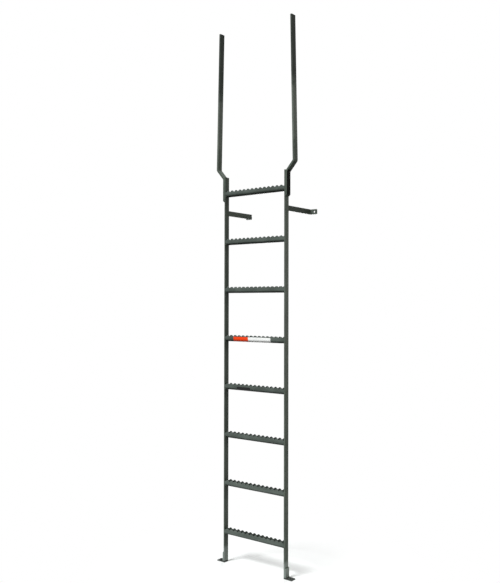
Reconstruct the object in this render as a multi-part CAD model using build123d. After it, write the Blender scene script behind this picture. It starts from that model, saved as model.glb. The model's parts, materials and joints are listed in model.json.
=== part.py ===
import os

from build123d import *

# Fixed steel ladder, welded throughout: flat bar stiles, serrated channel rungs, angle feet, wall
# brackets and flared walk-through handrails. Millimetres. The origin is on the floor, midway between
# the stiles and through their depth; +X is the climber's right and +Y faces the wall.

# Layout
rung_count = 8
rung_spacing = 304.8
clear_width = 457.2  # between the inner faces of the stiles
first_tread_height = 215.9  # floor to the tooth tips of the lowest rung
stile_above_tread = 88.9  # top of the stiles over the tooth tips of the top rung
handrail_above_tread = 1016.0  # handrail top over the tooth tips of the top rung

# Stiles
stile_thickness = 7.9
stile_depth = 38.1
stile_edge_chamfer = 1.0

# Rungs, pressed channels with a round bottom, open at the top with both lips cut into teeth
rung_setback = 0.8  # each lip behind the edge of the stile
rung_wall = 3.0
rung_face = 31.3  # underside to the roots of the teeth
tooth_pitch = 31.75
tooth_height = 8.0
tooth_root = 4.0  # flat between two teeth
tooth_crest = 4.0  # flat on top of a tooth
shoulder_run = 3.0  # sloped edge each side of the crest
shoulder_drop = 1.0
shortest_land = 4.0  # plain lip left beside each stile

# Handrails, flat bar as deep as the stiles, bent outwards above them
handrail_thickness = 12.7
handrail_edge_chamfer = 1.2
handrail_bend_radius = 9.0  # inside of each bend
handrail_lap = 158.75  # lower end below the top of the stile
flare_drop = 10.0  # top of the stile down to the lower bend
flare_rise = 60.0
flare_offset = 53.0
handrail_lean = 19.0  # top of the handrail leans back in from the upper bend
handrail_toe = 2.5  # thickness left at the bevelled lower end
handrail_bevel = 10.0  # height of that bevel

# Wall brackets, flat bar on the backs of the stiles, bent outwards at the wall
bracket_height = 31.75
bracket_thickness = 6.35
bracket_drop = 139.7  # tooth tips of the top rung to the bracket's middle
bracket_reach = 247.65  # back of the stile to the wall
bracket_flange = 50.8
bracket_bend_radius = 6.0
bracket_corner_radius = 5.0
wall_hole_diameter = 12.7

# Feet, short lengths of rolled angle
foot_leg = 63.5  # up the stile
foot_plate = 50.8  # out along the floor
foot_thickness = 6.35
foot_length = 38.1
foot_root_radius = 8.0
foot_toe_radius = 3.0
floor_hole_diameter = 14.3

# Weld beads
rung_bead_leg = 4.0
rung_bead_arc = 100.0  # degrees round the bottom of the rung
foot_bead_leg = 4.5
bracket_bead_leg = 4.0
handrail_bead_leg = 4.0  # down the stile, under the end of the handrail
bead_margin = 2.0  # edge of the bar to the end of a bead across it
seam_weld_length = 45.0  # in the grooves between handrail and stile
seam_weld_crown = 0.8
seam_weld_gap = 6.0  # bevel or bend of the handrail to the end of the weld

# Places that follow from the sizes above
stile_inner = clear_width / 2
stile_outer = stile_inner + stile_thickness
top_tread = first_tread_height + (rung_count - 1) * rung_spacing
stile_height = top_tread + stile_above_tread
rung_depth = stile_depth - 2 * rung_setback
rung_radius = rung_depth / 2
rung_height = rung_face + tooth_height
handrail_depth = stile_depth
handrail_face = stile_outer + handrail_thickness
handrail_top = top_tread + handrail_above_tread
handrail_bottom = stile_height - handrail_lap
flare_bottom = stile_height - flare_drop
bracket_middle = top_tread - bracket_drop
bracket_inner = stile_inner + (stile_thickness - bracket_thickness) / 2
bracket_outer = bracket_inner + bracket_thickness
stile_back = stile_depth / 2
wall_plane = stile_back + bracket_reach


def make_stile():
    bar = Box(
        stile_thickness,
        stile_depth,
        stile_height,
        align=(Align.MIN, Align.CENTER, Align.MIN),
    )
    return Pos(stile_inner, 0, 0) * chamfer(bar.edges().filter_by(Axis.Z), stile_edge_chamfer)


def tooth_outline():
    # Side view of the rung, with the whole row of teeth on its upper edge
    tooth_count = int((clear_width - 2 * shortest_land) / tooth_pitch)
    row_start = -tooth_count * tooth_pitch / 2
    flank_end = tooth_crest / 2 + shoulder_run
    points = [(-stile_inner, 0), (-stile_inner, rung_face)]
    for tooth in range(tooth_count):
        crest_x = row_start + (tooth + 0.5) * tooth_pitch
        points.append((crest_x - tooth_pitch / 2 + tooth_root / 2, rung_face))
        points.append((crest_x - flank_end, rung_height - shoulder_drop))
        points.append((crest_x - tooth_crest / 2, rung_height))
        points.append((crest_x + tooth_crest / 2, rung_height))
        points.append((crest_x + flank_end, rung_height - shoulder_drop))
        points.append((crest_x + tooth_pitch / 2 - tooth_root / 2, rung_face))
    points += [(stile_inner, rung_face), (stile_inner, 0)]
    return make_face(Polyline(*points, close=True))


def trough_outline(radius):
    # Half-round bottom with straight sides up to the tooth tips
    bottom = ThreePointArc((-radius, rung_radius), (0, rung_radius - radius), (radius, rung_radius))
    sides = Polyline(
        (radius, rung_radius),
        (radius, rung_height),
        (-radius, rung_height),
        (-radius, rung_radius),
    )
    return make_face([bottom, sides])


def make_rung(tread):
    section = trough_outline(rung_radius) - trough_outline(rung_radius - rung_wall)
    channel = extrude(Plane.YZ * section, stile_inner, both=True)
    toothed = extrude(Plane.XZ * tooth_outline(), rung_depth, both=True)
    return Pos(0, 0, tread - rung_height) * (channel & toothed)


def make_handrail():
    # Flat bar swept along its middle line, then bevelled at the lower end
    middle = stile_outer + handrail_thickness / 2
    out = middle + flare_offset
    route = FilletPolyline(
        (middle, 0, handrail_bottom),
        (middle, 0, flare_bottom),
        (out, 0, flare_bottom + flare_rise),
        (out - handrail_lean, 0, handrail_top),
        radius=handrail_bend_radius + handrail_thickness / 2,
    )
    section = Rectangle(handrail_thickness, handrail_depth)
    section = chamfer(section.vertices(), handrail_edge_chamfer)
    start = Plane((middle, 0, handrail_bottom), x_dir=(1, 0, 0), z_dir=(0, 0, 1))
    bar = sweep(start * section, path=route)
    bevel = Polyline(
        (stile_outer + handrail_toe, handrail_bottom),
        (handrail_face, handrail_bottom),
        (handrail_face, handrail_bottom + handrail_bevel),
        close=True,
    )
    return bar - extrude(Plane.XZ * make_face(bevel), handrail_depth, both=True)


def make_wall_bracket():
    near = bracket_inner
    flange_end = near + bracket_flange
    outline = Polyline(
        (near, stile_back),
        (near, wall_plane),
        (flange_end, wall_plane),
        (flange_end, wall_plane - bracket_thickness),
        (bracket_outer, wall_plane - bracket_thickness),
        (bracket_outer, stile_back),
        close=True,
    )
    plan = make_face(outline)
    outside = plan.vertices().sort_by_distance((near, wall_plane, 0))[0]
    plan = fillet(outside, bracket_bend_radius + bracket_thickness)
    inside = plan.vertices().sort_by_distance((bracket_outer, wall_plane - bracket_thickness, 0))[0]
    plan = fillet(inside, bracket_bend_radius)
    bar = extrude(Plane.XY * plan, bracket_height / 2, both=True)
    end_corners = bar.edges().filter_by(Axis.Y).group_by(Axis.X)[-1]
    bar = fillet(end_corners, bracket_corner_radius)
    hole = Cylinder(wall_hole_diameter / 2, 3 * bracket_thickness, rotation=(90, 0, 0))
    bar -= Pos(wall_hole_x(), wall_plane, 0) * hole
    return Pos(0, 0, bracket_middle) * bar


def wall_hole_x():
    # Middle of the flat part of the bracket's flange
    flat_start = bracket_outer + bracket_bend_radius
    flat_end = bracket_inner + bracket_flange
    return (flat_start + flat_end) / 2


def make_foot():
    outline = Polyline(
        (0, 0),
        (foot_plate, 0),
        (foot_plate, foot_thickness),
        (foot_thickness, foot_thickness),
        (foot_thickness, foot_leg),
        (0, foot_leg),
        close=True,
    )
    section = make_face(outline)
    root = section.vertices().sort_by_distance((foot_thickness, foot_thickness, 0))[0]
    section = fillet(root, foot_root_radius)
    for toe in ((foot_plate, foot_thickness, 0), (foot_thickness, foot_leg, 0)):
        section = fillet(section.vertices().sort_by_distance(toe)[0], foot_toe_radius)
    angle = Pos(stile_outer, 0, 0) * extrude(Plane.XZ * section, foot_length / 2, both=True)
    return angle - Pos(floor_hole_x(), 0, 0) * Cylinder(floor_hole_diameter / 2, 3 * foot_thickness)


def floor_hole_x():
    # Middle of the flat part of the foot's plate
    flat_start = foot_thickness + foot_root_radius
    flat_end = foot_plate - foot_toe_radius
    return stile_outer + (flat_start + flat_end) / 2


def make_rung_weld(tread):
    # Bead round the bottom of the rung where it meets the stile
    section = Polyline(
        (stile_inner, -rung_radius),
        (stile_inner - rung_bead_leg, -rung_radius),
        (stile_inner, -rung_radius - rung_bead_leg),
        close=True,
    )
    bead = revolve(Plane.XZ * make_face(section), Axis.X, rung_bead_arc)
    return Pos(0, 0, tread - rung_height + rung_radius) * Rot(-rung_bead_arc / 2, 0, 0) * bead


def make_bead_across(x, level, leg_x, leg_z):
    # Straight bead across the depth of a stile
    section = Polyline((x, level), (x + leg_x, level), (x, level + leg_z), close=True)
    length = stile_depth - 2 * bead_margin
    return extrude(Plane.XZ * make_face(section), length / 2, both=True)


def make_bracket_bead(upwards):
    # Bead along the top or bottom of the bracket's end, on the back of the stile
    edge = bracket_middle + upwards * bracket_height / 2
    section = Polyline(
        (stile_back, edge),
        (stile_back + bracket_bead_leg, edge),
        (stile_back, edge + upwards * bracket_bead_leg),
        close=True,
    )
    return Pos(bracket_inner, 0, 0) * extrude(Plane.YZ * make_face(section), bracket_thickness)


def make_seam_weld(bottom):
    # Fills the groove between the chamfered front edges of stile and handrail
    front = -stile_depth / 2
    section = Polyline(
        (stile_outer - stile_edge_chamfer, front),
        (stile_outer, front + stile_edge_chamfer),
        (stile_outer, front + handrail_edge_chamfer),
        (stile_outer + handrail_edge_chamfer, front),
        (stile_outer, front - seam_weld_crown),
        close=True,
    )
    return Pos(0, 0, bottom) * extrude(Plane.XY * make_face(section), seam_weld_length)


def make_handrail_welds():
    lower = handrail_bottom + handrail_bevel + seam_weld_gap
    upper = flare_bottom - handrail_bend_radius - seam_weld_gap - seam_weld_length
    welds = [make_bead_across(stile_outer, handrail_bottom, handrail_toe, -handrail_bead_leg)]
    for bottom in (lower, upper):
        seam = make_seam_weld(bottom)
        welds += [seam, mirror(seam, about=Plane.XZ)]
    return welds


def save(name, *solids):
    shape = solids[0] if len(solids) == 1 else Compound(children=list(solids))
    export_step(shape, f"parts/{name}.step")


def save_pair(name, *solids):
    save(f"right_{name}", *solids)
    save(f"left_{name}", *[mirror(solid, about=Plane.YZ) for solid in solids])


os.makedirs("parts", exist_ok=True)

treads = [first_tread_height + number * rung_spacing for number in range(rung_count)]
for number, tread in enumerate(treads, start=1):
    save(f"rung_{number}", make_rung(tread))

save_pair("stile", make_stile())
save_pair("handrail", make_handrail())
save_pair("wall_bracket", make_wall_bracket())
save_pair("floor_foot", make_foot())
save_pair("rung_welds", *[make_rung_weld(tread) for tread in treads])
save_pair("floor_foot_weld", make_bead_across(stile_outer, foot_leg, foot_bead_leg, foot_bead_leg))
save_pair("handrail_welds", *make_handrail_welds())
save_pair("wall_bracket_welds", make_bracket_bead(1), make_bracket_bead(-1))
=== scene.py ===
import json
import math

import bmesh
import bpy
from mathutils import Matrix, Vector


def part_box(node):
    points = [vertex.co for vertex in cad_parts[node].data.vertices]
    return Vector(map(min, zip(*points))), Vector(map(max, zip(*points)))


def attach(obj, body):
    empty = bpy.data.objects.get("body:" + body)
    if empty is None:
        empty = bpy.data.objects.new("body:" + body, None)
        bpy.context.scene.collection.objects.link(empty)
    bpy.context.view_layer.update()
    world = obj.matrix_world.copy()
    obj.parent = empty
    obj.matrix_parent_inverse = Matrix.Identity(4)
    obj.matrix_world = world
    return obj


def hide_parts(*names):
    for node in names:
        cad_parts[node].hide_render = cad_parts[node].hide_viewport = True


# Fixed steel ladder in metres: +X to the climber's right, +Y to the wall, the floor at zero
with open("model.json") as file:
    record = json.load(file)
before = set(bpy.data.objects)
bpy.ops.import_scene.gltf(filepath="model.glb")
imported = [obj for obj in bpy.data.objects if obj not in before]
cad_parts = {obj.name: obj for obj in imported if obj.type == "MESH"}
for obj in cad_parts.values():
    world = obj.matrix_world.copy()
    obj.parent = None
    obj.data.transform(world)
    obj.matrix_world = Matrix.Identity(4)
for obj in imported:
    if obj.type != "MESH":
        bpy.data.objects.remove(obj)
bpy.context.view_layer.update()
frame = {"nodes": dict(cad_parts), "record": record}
nodes = frame["nodes"]
print("ladder loaded with", len(nodes), "nodes")

# Sizes of the right side, read from the frame; the left side mirrors it
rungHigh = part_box("rung_1")[1]
stileLow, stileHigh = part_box("right_stile")
bracketLow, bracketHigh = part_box("right_wall_bracket")
ladder = {
    "rungCount": sum(name.startswith("rung_") for name in nodes),
    "rungSpacing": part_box("rung_2")[1].z - rungHigh.z,
    "firstTread": rungHigh.z,          # tooth tips of the lowest rung
    "rungHeight": 0.0393,              # tooth tips to the true underside, where the mesh is a little flat
    "rungRadius": rungHigh.y,          # half-round bottom
    "stileInner": stileLow.x,
    "stileOuter": stileHigh.x,
    "stileBack": stileHigh.y,
    "stileTop": stileHigh.z,
    "handrailBottom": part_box("right_handrail")[0].z,
    "handrailThickness": 0.0127,
    "bracketInner": bracketLow.x,
    "bracketOuter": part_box("right_wall_bracket_welds")[1].x,     # the beads end where the bar does
    "bracketBottom": bracketLow.z,
    "bracketTop": bracketHigh.z,
    "footTop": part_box("right_floor_foot")[1].z,
}
even = (1.0, 1.0, 1.0)


def underside(number):
    return ladder["firstTread"] + (number - 1) * ladder["rungSpacing"] - ladder["rungHeight"]


# Node helpers
def newMaterial(name):
    material = bpy.data.materials.new(name)
    material.use_nodes = True
    tree = material.node_tree
    return material, tree, tree.nodes["Principled BSDF"]


def addNode(tree, kind, **settings):
    node = tree.nodes.new(kind)
    for key, value in settings.items():
        setattr(node, key, value)
    return node


def feed(tree, socket, value):
    # a link or a plain value
    if isinstance(value, bpy.types.NodeSocket):
        tree.links.new(value, socket)
    else:
        socket.default_value = value


def stretch(tree, scale):
    coords = addNode(tree, "ShaderNodeTexCoord")
    mapping = addNode(tree, "ShaderNodeMapping")
    feed(tree, mapping.inputs["Vector"], coords.outputs["Object"])
    feed(tree, mapping.inputs["Scale"], scale)
    return mapping.outputs[0]


def remap(tree, value, low, high, toLow=0.0, toHigh=1.0, smooth=False):
    node = addNode(tree, "ShaderNodeMapRange", interpolation_type="SMOOTHSTEP" if smooth else "LINEAR")
    feed(tree, node.inputs["Value"], value)
    feed(tree, node.inputs["From Min"], low)
    feed(tree, node.inputs["From Max"], high)
    feed(tree, node.inputs["To Min"], toLow)
    feed(tree, node.inputs["To Max"], toHigh)
    return node.outputs[0]


def calc(tree, operation, first, second=0.0):
    node = addNode(tree, "ShaderNodeMath", operation=operation)
    feed(tree, node.inputs[0], first)
    feed(tree, node.inputs[1], second)
    return node.outputs[0]


def add(tree, first, second):
    return calc(tree, "ADD", first, second)


def times(tree, first, second):
    return calc(tree, "MULTIPLY", first, second)


def pattern(tree, made, scale=even, gives=None):
    # noise, turned into the wanted values where its dictionary says so
    texture = addNode(tree, "ShaderNodeTexNoise")
    feed(tree, texture.inputs["Vector"], stretch(tree, scale))
    feed(tree, texture.inputs["Scale"], made["size"])
    feed(tree, texture.inputs["Detail"], made["detail"])
    feed(tree, texture.inputs["Roughness"], made["rough"])
    if "between" in made:
        return remap(tree, texture.outputs[0], *made["between"], *(gives or made["gives"]))
    return texture.outputs[0]


def bump(tree, made, scale=even):
    node = addNode(tree, "ShaderNodeBump")
    feed(tree, node.inputs["Strength"], made["strength"])
    feed(tree, node.inputs["Distance"], made["distance"])
    feed(tree, node.inputs["Height"], pattern(tree, made, scale))
    return node


def asColour(value):
    return value if isinstance(value, bpy.types.NodeSocket) else (*value, 1.0)


def blendColours(tree, factor, first, second):
    # a colour mix has its colours on sockets 6 and 7, and its result on 2
    node = addNode(tree, "ShaderNodeMix", data_type="RGBA")
    feed(tree, node.inputs[0], factor)
    feed(tree, node.inputs[6], asColour(first))
    feed(tree, node.inputs[7], asColour(second))
    return node.outputs[2]


def ramp(tree, value, stops):
    node = addNode(tree, "ShaderNodeValToRGB")
    feed(tree, node.inputs[0], value)
    band = node.color_ramp
    while len(band.elements) < len(stops):
        band.elements.new(0.5)
    for element, (place, colour) in zip(band.elements, stops):
        element.position = place
        element.color = (*colour, 1.0)
    return node.outputs[0]


def faceTurn(tree):
    # how far a face turns to each axis, -1 to 1
    geometry = addNode(tree, "ShaderNodeNewGeometry")
    split = addNode(tree, "ShaderNodeSeparateXYZ")
    feed(tree, split.inputs[0], geometry.outputs["Normal"])
    return split.outputs


def objectPlace(tree):
    split = addNode(tree, "ShaderNodeSeparateXYZ")
    feed(tree, split.inputs[0], stretch(tree, even))
    return split.outputs


# Satin enamel over rolled steel; every tone has its place on the mottle
barPaint = {
    "tones": (
        (0.41, (0.059, 0.074, 0.061)),
        (0.51, (0.082, 0.101, 0.083)),
        (0.61, (0.106, 0.127, 0.106)),
    ),
    "rubbed": (0.145, 0.164, 0.142),
    "grain": (42.0, 42.0, 1.6),          # rolling marks run up the bars
    "bracketGrain": (42.0, 1.6, 42.0),   # and along the brackets to the wall
    "scuffs": (160.0, 160.0, 9.0),
    "roughness": (0.34, 0.50),
    "edge": "chamfers",
}
rungPaint = {
    "tones": (
        (0.41, (0.064, 0.077, 0.068)),
        (0.51, (0.087, 0.105, 0.094)),
        (0.61, (0.114, 0.133, 0.118)),
    ),
    "rubbed": (0.155, 0.173, 0.157),
    "grain": (1.6, 42.0, 42.0),
    "scuffs": (9.0, 160.0, 160.0),
    "roughness": (0.34, 0.50),
    "edge": "teeth",
}
weldPaint = {
    "tones": (
        (0.41, (0.049, 0.061, 0.051)),
        (0.51, (0.074, 0.090, 0.075)),
        (0.61, (0.098, 0.117, 0.097)),
    ),
    "rubbed": (0.133, 0.149, 0.129),
    "grain": (90.0, 90.0, 90.0),
    "scuffs": (240.0, 240.0, 240.0),
    "roughness": (0.36, 0.56),
    "edge": "none",
}
paintNoise = {
    "blotch": {"size": 6.0, "detail": 5.0, "rough": 0.6},
    "grain": {"size": 1.0, "detail": 4.0, "rough": 0.6},
    "grime": {"size": 55.0, "detail": 4.0, "rough": 0.7, "between": (0.35, 0.62), "gives": (0.45, 0.85)},
    "fleck": {"size": 210.0, "detail": 5.0, "rough": 0.7, "between": (0.44, 0.62), "gives": (0.12, 0.60)},
    "scuff": {"size": 1.0, "detail": 3.0, "rough": 0.6, "between": (0.60, 0.72), "gives": (0.0, 0.55)},
    "chip": {"size": 120.0, "detail": 5.0, "rough": 0.75, "between": (0.66, 0.70), "gives": (0.0, 0.65)},
    "drift": {"size": 24.0, "detail": 4.0, "rough": 0.6, "between": (0.0, 1.0), "gives": (-0.11, 0.11)},
    "rungShadow": {"size": 1.0, "detail": 3.0, "rough": 0.6, "between": (0.35, 0.65), "gives": (0.12, 0.50)},
    "lapDark": {"size": 1.4, "detail": 4.0, "rough": 0.6, "between": (0.30, 0.60), "gives": (0.88, 1.0)},
    "paling": {"size": 40.0, "detail": 4.0, "rough": 0.65, "between": (0.35, 0.60), "gives": (0.60, 0.85)},
    "satin": {"size": 30.0, "detail": 4.0, "rough": 0.6, "between": (0.30, 0.70)},
    "spray": {"size": 520.0, "detail": 2.0, "rough": 0.5, "strength": 0.6, "distance": 0.0002},
    "pits": {"size": 95.0, "detail": 6.0, "rough": 0.65, "strength": 0.5, "distance": 0.0008},
}
mottleShares = {"blotch": 0.6, "grain": 0.4}
grime = {                            # on what faces up
    "turns": (0.75, 1.0),
    "colour": (0.031, 0.035, 0.030),
    "rougher": 0.4,
    "sheen": 0.15,                   # share of the sheen that is left
}
rubbedEdges = {
    "chamferTurns": (0.35, 0.55),
    "toothLevels": (-0.006, 0.0005),     # from the tooth tips
}
primer = (0.055, 0.040, 0.031)
paintedShadeColour = (0.011, 0.013, 0.011)     # painted shade: the dark colour mixed in wherever shade is painted
sheen = {"turns": (-0.75, -0.10), "levels": (0.02, 0.16)}       # what faces down is duller
# painted shade on faces that turn down
paintedUnderShade = {"turns": (-0.35, -0.80), "share": 0.5}
channelPaintedShade = {"inwards": (-0.002, -0.008), "share": 0.72}     # painted shade inside the channels
rungLead = 0.05                      # a rung's levels count from this far under it
sideTurns = (0.4, 0.6)
behindGaps = (0.00015, 0.00095)      # of the bars, only the brackets reach this far behind the stiles
behindStile = tuple(ladder["stileBack"] + gap for gap in behindGaps)
paintedShade = {                        # painted shade, darker and duller
    # painted shade on the upper ends of the handrails
    "railTops": (2.92, 3.02),
    "topShare": 0.58,
    "railStart": (2.45, 2.50),
    "railShare": 0.16,               # painted shade on the outer faces of the handrails
    "bracketShare": 0.50,            # painted shade on the outer faces of the brackets
    "stileShare": 0.26,              # painted shade on the inner faces of the stiles
    "stileSkin": (0.003, 0.001),     # how deep in the bar the inner faces end
    "rungShadowReach": 0.11,               # painted shadow under the rungs, broken into streaks
    "rungShadowGrain": (150.0, 150.0, 6.0),
    "sheen": 0.3,
}
paintedLight = {                          # painted light: paler stretches with more sheen
    # painted light on the handrails
    "rails": (2.58, 2.96),
    "railShare": 0.50,
    "stiles": (1.08, 2.04),          # painted light on the outer faces of the stiles
    "stileShare": 0.35,
    "soft": 0.06,
    "sheen": 1.7,
}
lapDark = {                           # dark outer faces of the welded laps
    "pastLap": (0.00765, 0.0016),    # how far it could run on below and above the lap
    "soft": 0.006,
    "skin": (0.003, 0.002),          # how deep in the bar the outer faces end
    "colour": (0.007, 0.008, 0.007),
    "sheen": 0.1,
}
paleFeet = {                         # lighter feet of the stiles
    "levels": (0.110, 0.080),
    "turns": (0.6, 0.2),             # none on what faces up
    "elsewhere": 0.70,               # share of it on all but the outer faces
    "colour": (0.241, 0.273, 0.263),
}
plateDarkening = {                       # darker at the very bottom, on the plates of the feet
    "levels": (0.012, 0.0075),
    "share": 0.90,
    "colour": (0.023, 0.025, 0.023),
}


def rungLevel(tree):
    # height over the underside of the rung that is here
    above = add(tree, objectPlace(tree)[2], rungLead - underside(1))
    return calc(tree, "SUBTRACT", calc(tree, "MODULO", above, ladder["rungSpacing"]), rungLead)


def channelInside(tree):
    # faces that look in to the middle of the channel
    turn = faceTurn(tree)
    overBend = calc(tree, "SUBTRACT", rungLevel(tree), ladder["rungRadius"])
    down = times(tree, calc(tree, "MINIMUM", overBend, 0.0), turn[2])
    across = times(tree, objectPlace(tree)[1], turn[1])
    return remap(tree, add(tree, across, down), *channelPaintedShade["inwards"], smooth=True)


def raggedHeight(tree):
    return add(tree, objectPlace(tree)[2], pattern(tree, paintNoise["drift"]))


def betweenLevels(tree, height, levels, soft):
    bottom, top = levels
    over = remap(tree, height, bottom, bottom + soft, smooth=True)
    under = remap(tree, height, top, top - soft, smooth=True)
    return times(tree, over, under)


def sideFacing(tree, way):
    # faces that look out from the middle of the ladder (1) or in to it (-1)
    outward = times(tree, calc(tree, "SIGN", objectPlace(tree)[0]), faceTurn(tree)[0])
    return remap(tree, times(tree, outward, way), *sideTurns)


def fromMiddle(tree, near, far):
    return remap(tree, calc(tree, "ABSOLUTE", objectPlace(tree)[0]), near, far)


def lapMask(tree):
    # outer faces of the handrails where they lie on the stiles
    face = ladder["stileOuter"] + ladder["handrailThickness"]
    beside = fromMiddle(tree, *(face - depth for depth in lapDark["skin"]))
    below, above = lapDark["pastLap"]
    levels = (ladder["handrailBottom"] - below, ladder["stileTop"] + above)
    along = betweenLevels(tree, objectPlace(tree)[2], levels, lapDark["soft"])
    return times(tree, times(tree, beside, sideFacing(tree, 1)), along)


def stileInnerShade(tree):
    # painted shade on the inner faces of the stiles, and painted shadow just under the rungs, broken into
    # streaks
    above = add(tree, objectPlace(tree)[2], ladder["rungSpacing"] - underside(1))
    rise = calc(tree, "MODULO", above, ladder["rungSpacing"])
    drop = calc(tree, "SUBTRACT", ladder["rungSpacing"], rise)
    rungShadow = remap(tree, drop, paintedShade["rungShadowReach"], 0.0, smooth=True)
    rungShadow = times(tree, rungShadow, pattern(tree, paintNoise["rungShadow"], paintedShade["rungShadowGrain"]))
    inner = times(tree, add(tree, rungShadow, paintedShade["stileShare"]), sideFacing(tree, -1))
    inner = times(tree, inner, remap(tree, objectPlace(tree)[1], *reversed(behindStile)))
    skin = (ladder["stileInner"] + depth for depth in paintedShade["stileSkin"])
    return times(tree, inner, fromMiddle(tree, *skin))


def paintedShadeMask(tree):
    # painted shade: upper ends and outer faces of the handrails, outer faces of the brackets, inner faces
    # of the stiles
    height, outer = objectPlace(tree)[2], sideFacing(tree, 1)
    tops = remap(tree, raggedHeight(tree), *paintedShade["railTops"], 0.0, paintedShade["topShare"], smooth=True)
    rails = remap(tree, height, *paintedShade["railStart"], 0.0, paintedShade["railShare"], smooth=True)
    rails = add(tree, tops, times(tree, rails, outer))
    brackets = remap(tree, objectPlace(tree)[1], *behindStile, 0.0, paintedShade["bracketShare"])
    brackets = times(tree, brackets, outer)
    return calc(tree, "MAXIMUM", rails, calc(tree, "MAXIMUM", brackets, stileInnerShade(tree)))


def paintedLightMask(tree):
    # painted light on stretches of the handrails and of the outer faces of the stiles
    height = raggedHeight(tree)
    rails = betweenLevels(tree, height, paintedLight["rails"], paintedLight["soft"])
    rails = times(tree, rails, paintedLight["railShare"])
    stiles = betweenLevels(tree, height, paintedLight["stiles"], paintedLight["soft"])
    stiles = times(tree, times(tree, stiles, paintedLight["stileShare"]), sideFacing(tree, 1))
    return calc(tree, "MAXIMUM", rails, stiles)


def edgeRub(tree, kind):
    if kind == "chamfers":    # along the bars
        turnX, turnY = (calc(tree, "ABSOLUTE", axis) for axis in faceTurn(tree)[:2])
        return remap(tree, calc(tree, "MINIMUM", turnX, turnY), *rubbedEdges["chamferTurns"], smooth=True)
    # the upper few millimetres of every tooth
    levels = (ladder["rungHeight"] + level for level in rubbedEdges["toothLevels"])
    return remap(tree, rungLevel(tree), *levels, smooth=True)


def mottle(tree, look):
    grain = pattern(tree, paintNoise["grain"], look["grain"])
    if "bracketGrain" in look:
        reaching = pattern(tree, paintNoise["grain"], look["bracketGrain"])
        behind = remap(tree, objectPlace(tree)[1], *behindStile)
        grain = add(tree, grain, times(tree, behind, calc(tree, "SUBTRACT", reaching, grain)))
    blotch = times(tree, pattern(tree, paintNoise["blotch"]), mottleShares["blotch"])
    return add(tree, blotch, times(tree, grain, mottleShares["grain"]))


def sheenLeft(tree, mask, share):
    return remap(tree, mask, 0.0, 1.0, 1.0, share)


def barLightAndMarks(tree, look, colour):
    # painted light and shade that only the bars have, darker laps, paler feet and darker plates, and the
    # sheen that is left
    lit, shaded, lap = paintedLightMask(tree), paintedShadeMask(tree), lapMask(tree)
    # painted light: the rubbed colour lightens these stretches
    colour = blendColours(tree, lit, colour, look["rubbed"])
    # painted shade, in the dark shade colour
    colour = blendColours(tree, shaded, colour, paintedShadeColour)
    # darker outer faces where the handrails lie on the stiles
    lapDarkened = times(tree, lap, pattern(tree, paintNoise["lapDark"], look["grain"]))
    colour = blendColours(tree, lapDarkened, colour, lapDark["colour"])
    height = objectPlace(tree)[2]
    # paler towards the floor on the feet of the stiles
    paling = remap(tree, height, *paleFeet["levels"], smooth=True)
    paling = times(tree, paling, remap(tree, faceTurn(tree)[2], *paleFeet["turns"]))
    paling = times(tree, paling, remap(tree, sideFacing(tree, 1), 0.0, 1.0, paleFeet["elsewhere"], 1.0))
    paling = times(tree, paling, pattern(tree, paintNoise["paling"]))
    colour = blendColours(tree, paling, colour, paleFeet["colour"])
    # darker at the very bottom
    darkLow = remap(tree, height, *plateDarkening["levels"], 0.0, plateDarkening["share"], smooth=True)
    colour = blendColours(tree, darkLow, colour, plateDarkening["colour"])
    left = sheenLeft(tree, lap, lapDark["sheen"])
    left = times(tree, left, sheenLeft(tree, shaded, paintedShade["sheen"]))
    return colour, times(tree, left, sheenLeft(tree, lit, paintedLight["sheen"]))


def paintedSteel(name, look):
    material, tree, shader = newMaterial(name)
    colour = ramp(tree, mottle(tree, look), look["tones"])
    upward = remap(tree, faceTurn(tree)[2], *grime["turns"], smooth=True)
    settled = times(tree, upward, pattern(tree, paintNoise["grime"]))
    colour = blendColours(tree, settled, colour, grime["colour"])

    # fine scuffs along the length, thin paint on the edges, and sparse chips down to the primer
    worn = pattern(tree, paintNoise["scuff"], look["scuffs"])
    if look["edge"] != "none":
        rubbed = times(tree, edgeRub(tree, look["edge"]), pattern(tree, paintNoise["fleck"]))
        worn = calc(tree, "MAXIMUM", worn, rubbed)
    colour = blendColours(tree, worn, colour, look["rubbed"])
    colour = blendColours(tree, pattern(tree, paintNoise["chip"]), colour, primer)

    # painted shade under things: faces that turn down are darkened
    below = remap(tree, faceTurn(tree)[2], *paintedUnderShade["turns"], 0.0, paintedUnderShade["share"], smooth=True)
    colour = blendColours(tree, below, colour, paintedShadeColour)
    shine = remap(tree, faceTurn(tree)[2], *sheen["turns"], *sheen["levels"], smooth=True)
    shine = times(tree, shine, sheenLeft(tree, upward, grime["sheen"]))
    if look["edge"] == "chamfers":
        colour, left = barLightAndMarks(tree, look, colour)
        shine = times(tree, shine, left)
    # painted shade inside the rung channels
    if look["edge"] == "teeth":
        shade = times(tree, channelInside(tree), channelPaintedShade["share"])
        colour = blendColours(tree, shade, colour, paintedShadeColour)
    feed(tree, shader.inputs["Base Color"], colour)
    feed(tree, shader.inputs["Specular IOR Level"], shine)
    satin = pattern(tree, paintNoise["satin"], gives=look["roughness"])
    feed(tree, shader.inputs["Roughness"], add(tree, satin, times(tree, settled, grime["rougher"])))

    # spray texture over faint mill pits
    spray, pits = bump(tree, paintNoise["spray"]), bump(tree, paintNoise["pits"])
    feed(tree, pits.inputs["Normal"], spray.outputs[0])
    feed(tree, shader.inputs["Normal"], pits.outputs[0])
    return material


paints = {
    "bar_paint": paintedSteel("barEnamel", barPaint),
    "rung_paint": paintedSteel("rungEnamel", rungPaint),
    "weld_paint": paintedSteel("weldEnamel", weldPaint),
}
for subpart in frame["record"]["subparts"]:
    for place in nodes[subpart["node"]].material_slots:
        place.material = paints[subpart["material_slot"]]

# Piece helpers
meshFinish = {"mergeReach": 0.000002, "sharpAngle": math.radians(38)}


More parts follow.
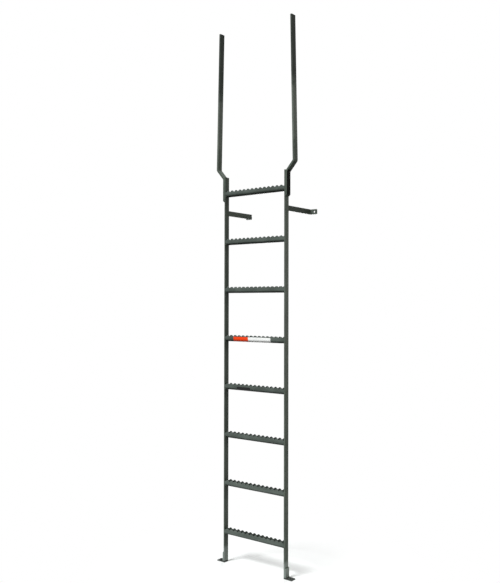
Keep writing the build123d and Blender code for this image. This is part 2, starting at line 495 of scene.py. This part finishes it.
def finishPiece(bm, name, material, replaced=()):
    bmesh.ops.remove_doubles(bm, verts=bm.verts, dist=meshFinish["mergeReach"])
    bmesh.ops.recalc_face_normals(bm, faces=bm.faces)
    mesh = bpy.data.meshes.new(name)
    for face in bm.faces:
        face.smooth = True
    bm.to_mesh(mesh)
    bm.free()
    mesh.set_sharp_from_angle(angle=meshFinish["sharpAngle"])
    piece = bpy.data.objects.new(name, mesh)
    bpy.context.scene.collection.objects.link(piece)
    mesh.materials.append(material)
    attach(piece, "root")
    if replaced:
        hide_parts(*replaced)


# Weld beads, drawn in small steps with a ripple; their legs lie on the two pieces that they join
weld = {
    "step": 0.0008,
    "ripplesEvery": 3,           # steps from one ripple to the next
    "rippleDepth": 0.11,
    "wander": 0.03,
    "wanderTurns": (0.9, 2.3),   # for each step, and for the bead's phase
    "endTaper": (0.45, 0.72, 0.90),
    "crown": ((1.0, 0.0), (0.90, 0.30), (0.64, 0.64), (0.30, 0.90), (0.0, 1.0)),
    "endGap": 0.002,             # from the ends of a bead to the edges of the bar
    "rungLegs": (0.004, 0.004),
    "rungArc": math.radians(100),
    "rungPhases": (0.7, 0.3),    # for each rung, and for the side
    "footLegs": (0.0045, 0.0045),
    "footPhase": 0.4,
    "handrailLegs": (0.0025, 0.004),
    "handrailPhase": 0.9,
    "bracketLegs": (0.004, 0.004),
    "bracketPhase": 0.6,
    "seamLength": 0.045,
    "seamGaps": (0.016, 0.025),  # over the handrail's lower end, and under the top of the stile
    "seamPhase": 0.5,
    "seamOutline": (
        (-0.0010, 0.0), (-0.0006, 0.0006), (0.0, 0.0008), (0.0007, 0.0006), (0.0012, 0.0), (0.0, -0.0011),
    ),
}
acrossStart = weld["endGap"] - ladder["stileBack"]
acrossLength = -2 * acrossStart


def axesAt(start, across, up, along):
    # a frame whose first two axes are the legs of the bead
    turned = Matrix((across, up, along)).transposed().to_4x4()
    return Matrix.Translation(start) @ turned


def filletOutline(legs):
    return [(0.0, 0.0)] + [(legs[0] * x, legs[1] * y) for x, y in weld["crown"]]


def drawBead(bm, outline, placeAt, length, phase):
    steps = round(length / weld["step"])
    stepTurn, phaseTurn = weld["wanderTurns"]
    tip = bm.faces.new([bm.verts.new((x, y, 0.0)) for x, y in outline])
    last = Matrix.Identity(4)
    for step in range(steps + 1):
        swell = 0.5 - 0.5 * math.cos(2 * math.pi * (step + phase) / weld["ripplesEvery"])
        size = 1.0 - weld["rippleDepth"] * swell
        size += weld["wander"] * math.sin(stepTurn * step + phaseTurn * phase)
        fromEnd = min(step, steps - step)
        if fromEnd < len(weld["endTaper"]):
            size *= weld["endTaper"][fromEnd]
        here = placeAt(step / steps) @ Matrix.Diagonal((size, size, 1.0, 1.0))
        if step:
            grown = bmesh.ops.extrude_face_region(bm, geom=[tip])["geom"]
            tip = next(item for item in grown if isinstance(item, bmesh.types.BMFace))
        bmesh.ops.transform(bm, matrix=here @ last.inverted(), verts=tip.verts)
        last = here


def straightBead(bm, outline, axes, length, phase):
    drawBead(bm, outline, lambda part: axes @ Matrix.Translation((0, 0, part * length)), length, phase)


def bendBead(bm, wallX, inwards, low, phase):
    # round the bottom of a rung, about the axis of its half-round
    bend = ladder["rungRadius"]
    middle = Matrix.Translation((wallX, 0, low + bend))
    first = axesAt((0, 0, -bend), (inwards, 0, 0), (0, 0, -1), (0, 1, 0))

    def placeAt(part):
        return middle @ Matrix.Rotation((part - 0.5) * weld["rungArc"], 4, "X") @ first

    drawBead(bm, filletOutline(weld["rungLegs"]), placeAt, weld["rungArc"] * bend, phase)


def finishBeads(bm, side, name, node):
    finishPiece(bm, side + name, paints["weld_paint"], (side + node,))


def rungBeads(side, sign):
    bm = bmesh.new()
    rungPhase, sidePhase = weld["rungPhases"]
    for number in range(1, ladder["rungCount"] + 1):
        phase = rungPhase * number + sidePhase * sign
        bendBead(bm, sign * ladder["stileInner"], -sign, underside(number), phase)
    finishBeads(bm, side, "RungBeads", "_rung_welds")


def footBead(side, sign):
    bm = bmesh.new()
    start = (sign * ladder["stileOuter"], acrossStart, ladder["footTop"])
    axes = axesAt(start, (sign, 0, 0), (0, 0, 1), (0, 1, 0))
    straightBead(bm, filletOutline(weld["footLegs"]), axes, acrossLength, weld["footPhase"] * sign)
    finishBeads(bm, side, "FootBead", "_floor_foot_weld")


def handrailBeads(side, sign):
    # one under the lower end, then two seams in front and two behind
    bm = bmesh.new()
    start = (sign * ladder["stileOuter"], acrossStart, ladder["handrailBottom"])
    axes = axesAt(start, (sign, 0, 0), (0, 0, -1), (0, 1, 0))
    straightBead(bm, filletOutline(weld["handrailLegs"]), axes, acrossLength, weld["handrailPhase"] * sign)
    lowGap, highGap = weld["seamGaps"]
    bottoms = (ladder["handrailBottom"] + lowGap, ladder["stileTop"] - highGap - weld["seamLength"])
    for number, bottom in enumerate(bottoms):
        for way in (-1, 1):
            start = (sign * ladder["stileOuter"], way * ladder["stileBack"], bottom)
            axes = axesAt(start, (sign, 0, 0), (0, way, 0), (0, 0, 1))
            phase = number + weld["seamPhase"] * way
            straightBead(bm, weld["seamOutline"], axes, weld["seamLength"], phase)
    finishBeads(bm, side, "HandrailBeads", "_handrail_welds")


def bracketBeads(side, sign):
    bm = bmesh.new()
    thickness = ladder["bracketOuter"] - ladder["bracketInner"]
    for up, level in ((-1, ladder["bracketBottom"]), (1, ladder["bracketTop"])):
        start = (sign * ladder["bracketInner"], ladder["stileBack"], level)
        axes = axesAt(start, (0, 1, 0), (0, 0, up), (sign, 0, 0))
        straightBead(bm, filletOutline(weld["bracketLegs"]), axes, thickness, weld["bracketPhase"] * up)
    finishBeads(bm, side, "BracketBeads", "_wall_bracket_welds")


for side, sign in (("left", -1), ("right", 1)):
    rungBeads(side, sign)
    footBead(side, sign)
    handrailBeads(side, sign)
    bracketBeads(side, sign)
print("weld beads laid")

# Blank films stuck on the fronts of two rungs; tops are heights over the underside
films = {
    "thickness": 0.00016,
    "gap": 0.00002,
    "corner": 0.0015,
    "cornerSegments": 4,
    "wrapped": 0.0235,     # length taken round the half-round bottom
    "wrapCuts": 12,
    "sheen": 0.2,
    "fade": (0.92, 0.01),  # share of the colour that stays, and what is added
    "speckColour": (0.09, 0.09, 0.08),
    "bubbleGrain": (1.0, 1.0, 2.2),
    "pieces": (
        {
            "name": "orangeFilm",
            "rung": 5,
            "span": (-0.160, -0.0442),
            "top": 0.0306,
            "colour": (0.94, 0.062, 0.006),
        },
        {
            "name": "whiteFilm",
            "rung": 5,
            "span": (-0.0440, 0.128),
            "top": 0.0306,
            "colour": (0.96, 0.96, 0.955),
        },
        {
            "name": "blackFilm",
            "rung": 4,
            "span": (-0.132, -0.026),
            "top": 0.0235,
            "colour": (0.006, 0.006, 0.007),
        },
    ),
}
filmNoise = {
    "fade": {"size": 38.0, "detail": 4.0, "rough": 0.6, "between": (0.35, 0.70), "gives": (0.0, 0.8)},
    "speck": {"size": 420.0, "detail": 3.0, "rough": 0.7, "between": (0.68, 0.76), "gives": (0.0, 0.35)},
    "satin": {"size": 90.0, "detail": 3.0, "rough": 0.5, "between": (0.30, 0.70), "gives": (0.34, 0.50)},
    "bubble": {"size": 70.0, "detail": 4.0, "rough": 0.55, "strength": 0.3, "distance": 0.0005},
}


def filmMaterial(name, colour):
    material, tree, shader = newMaterial(name)
    stays, added = films["fade"]
    faded = tuple(stays * part + added for part in colour)
    tint = blendColours(tree, pattern(tree, filmNoise["fade"]), colour, faded)
    tint = blendColours(tree, pattern(tree, filmNoise["speck"]), tint, films["speckColour"])
    feed(tree, shader.inputs["Base Color"], tint)
    feed(tree, shader.inputs["Roughness"], pattern(tree, filmNoise["satin"]))
    bubble = bump(tree, filmNoise["bubble"], films["bubbleGrain"])
    feed(tree, shader.inputs["Normal"], bubble.outputs[0])
    feed(tree, shader.inputs["Specular IOR Level"], films["sheen"])
    return material


def stickFilm(piece):
    bm = bmesh.new()
    start, end = piece["span"]
    bend = ladder["rungRadius"]
    tall = piece["top"] - bend + films["wrapped"]
    sheet = bmesh.ops.create_grid(bm, x_segments=1, y_segments=1, size=0.5)["verts"]
    bmesh.ops.scale(bm, vec=(end - start, tall, 1), verts=sheet)
    bmesh.ops.bevel(
        bm,
        geom=list(bm.verts),
        offset=films["corner"],
        affect="VERTICES",
        segments=films["cornerSegments"],
        profile=0.5,
        material=-1,
    )
    bmesh.ops.rotate(bm, verts=bm.verts, cent=(0, 0, 0), matrix=Matrix.Rotation(math.pi / 2, 3, "X"))
    bmesh.ops.translate(bm, vec=((start + end) / 2, 0, piece["top"] - tall / 2), verts=bm.verts)
    for cut in range(films["wrapCuts"]):
        height = bend - films["wrapped"] * cut / films["wrapCuts"]
        whole = list(bm.verts) + list(bm.edges) + list(bm.faces)
        bmesh.ops.bisect_plane(bm, geom=whole, plane_co=(0, 0, height), plane_no=(0, 0, 1))
    bmesh.ops.recalc_face_normals(bm, faces=bm.faces)
    bm.faces.ensure_lookup_table()
    if bm.faces[0].normal.y > 0:
        bmesh.ops.reverse_faces(bm, faces=bm.faces)
    bmesh.ops.solidify(bm, geom=list(bm.faces), thickness=films["thickness"])
    # bend the lower part round the rung, then lift the film to its place
    inner = max(vert.co.y for vert in bm.verts)
    for vert in bm.verts:
        reach = bend + films["gap"] + inner - vert.co.y
        angle = max(0.0, (bend - vert.co.z) / bend)
        vert.co.y = -reach * math.cos(angle)
        if angle > 0:
            vert.co.z = bend - reach * math.sin(angle)
    bmesh.ops.translate(bm, vec=(0, 0, underside(piece["rung"])), verts=bm.verts)
    finishPiece(bm, piece["name"], filmMaterial(piece["name"] + "Vinyl", piece["colour"]))


for piece in films["pieces"]:
    stickFilm(piece)
print("films stuck on")

# Floor, light and camera
studio = {
    "floorRadius": 16.0,
    "floorSides": 96,
    "floorDrop": 0.0002,
    "pale": (0.82, 0.82, 0.82),
    "bounceNear": (0.62, 0.62, 0.60),
    "bounceFar": (0.03, 0.03, 0.03),
    "bounceReach": (0.35, 1.1),
    "shadowReach": (0.15, 1.10),    # the floor turns to plain white over this distance
    "white": (1.0, 1.0, 1.0),
    "ambient": 0.0495,
}
sun = {
    "name": "key",
    "from": (-0.12, -0.66, 0.74),
    "spread": math.radians(24),
    "power": 4.12,
    "tint": (0.97, 1.0, 1.0),
}
lamps = (
    {
        "name": "side",
        "place": (4.6, -1.4, 2.4),
        "aim": (0.0, 0.0, 1.3),
        "size": 2.2,
        "power": 83.6,
        "tint": (1.0, 0.98, 0.90),
    },
    {
        "name": "rear",
        "place": (-1.8, 4.2, 1.9),
        "aim": (0.0, 0.0, 1.6),
        "size": 2.4,
        "power": 165.0,
        "tint": (1.0, 1.0, 1.0),
    },
)
photoCamera = {
    "place": (2.7903, -3.6388, 1.6354),
    "azimuth": math.radians(37.905),
    "pitch": math.radians(0.922),
    "roll": math.radians(-0.127),
    "lens": 45.807,
    "sensor": 36.0,
    "farthest": 60.0,
}


def seenRays(tree):
    path = addNode(tree, "ShaderNodeLightPath")
    seen = calc(tree, "MAXIMUM", path.outputs["Is Camera Ray"], path.outputs["Is Glossy Ray"])
    return calc(tree, "MAXIMUM", seen, path.outputs["Is Transmission Ray"])


def mixShaders(tree, factor, first, second):
    node = addNode(tree, "ShaderNodeMixShader")
    feed(tree, node.inputs[0], factor)
    feed(tree, node.inputs[1], first)
    feed(tree, node.inputs[2], second)
    return node.outputs[0]


def plainShader(tree, kind, colour):
    node = addNode(tree, kind)
    feed(tree, node.inputs["Color"], asColour(colour))
    return node.outputs[0]


def floorMaterial():
    # pale near the ladder and plain white further off, where it also throws back little light
    material, tree, shader = newMaterial("paleFloor")
    distance = addNode(tree, "ShaderNodeVectorMath", operation="LENGTH")
    feed(tree, distance.inputs[0], stretch(tree, (1.0, 1.0, 0.0)))
    pale = plainShader(tree, "ShaderNodeBsdfDiffuse", studio["pale"])
    glow = plainShader(tree, "ShaderNodeEmission", studio["white"])
    away = remap(tree, distance.outputs["Value"], *studio["shadowReach"], smooth=True)
    near = plainShader(tree, "ShaderNodeBsdfDiffuse", studio["bounceNear"])
    far = plainShader(tree, "ShaderNodeBsdfDiffuse", studio["bounceFar"])
    dim = remap(tree, distance.outputs["Value"], *studio["bounceReach"], smooth=True)
    bounced, shown = mixShaders(tree, dim, near, far), mixShaders(tree, away, pale, glow)
    surface = mixShaders(tree, seenRays(tree), bounced, shown)
    feed(tree, tree.nodes["Material Output"].inputs["Surface"], surface)
    tree.nodes.remove(shader)
    return material


def hangLamp(lamp, kind, turn, place=(0.0, 0.0, 0.0)):
    light = bpy.data.lights.new(lamp["name"], kind)
    light.energy = lamp["power"]
    light.color = lamp["tint"]
    holder = bpy.data.objects.new(lamp["name"], light)
    holder.location = place
    holder.rotation_euler = turn.to_euler()
    bpy.context.scene.collection.objects.link(holder)
    return light


bm = bmesh.new()
bmesh.ops.create_circle(bm, cap_ends=True, segments=studio["floorSides"], radius=studio["floorRadius"])
bmesh.ops.translate(bm, vec=(0, 0, -studio["floorDrop"]), verts=bm.verts)
floorMesh = bpy.data.meshes.new("paleFloor")
bm.to_mesh(floorMesh)
bm.free()
floorMesh.materials.append(floorMaterial())
floor = bpy.data.objects.new("paleFloor", floorMesh)
bpy.context.scene.collection.objects.link(floor)

world = bpy.data.worlds.new("studio")
bpy.context.scene.world = world
world.use_nodes = True
tree = world.node_tree
backdrop = tree.nodes["Background"]
feed(tree, backdrop.inputs["Color"], asColour(studio["white"]))
feed(tree, backdrop.inputs["Strength"], remap(tree, seenRays(tree), 0.0, 1.0, studio["ambient"], 1.0))

light = hangLamp(sun, "SUN", Vector(sun["from"]).to_track_quat("Z", "Y"))
light.angle = sun["spread"]
for lamp in lamps:
    aim = Vector(lamp["aim"]) - Vector(lamp["place"])
    light = hangLamp(lamp, "AREA", aim.to_track_quat("-Z", "Y"), lamp["place"])
    light.shape = "SQUARE"
    light.size = lamp["size"]

lens = bpy.data.cameras.new("photoView")
lens.lens = photoCamera["lens"]
lens.sensor_width = photoCamera["sensor"]
lens.clip_end = photoCamera["farthest"]
viewer = bpy.data.objects.new("photoView", lens)
viewer.location = photoCamera["place"]
viewer.rotation_euler = (math.pi / 2 + photoCamera["pitch"], photoCamera["roll"], photoCamera["azimuth"])
bpy.context.scene.collection.objects.link(viewer)
bpy.context.scene.camera = viewer
bpy.context.scene.view_settings.view_transform = "Standard"
print("floor, lamps and camera set")
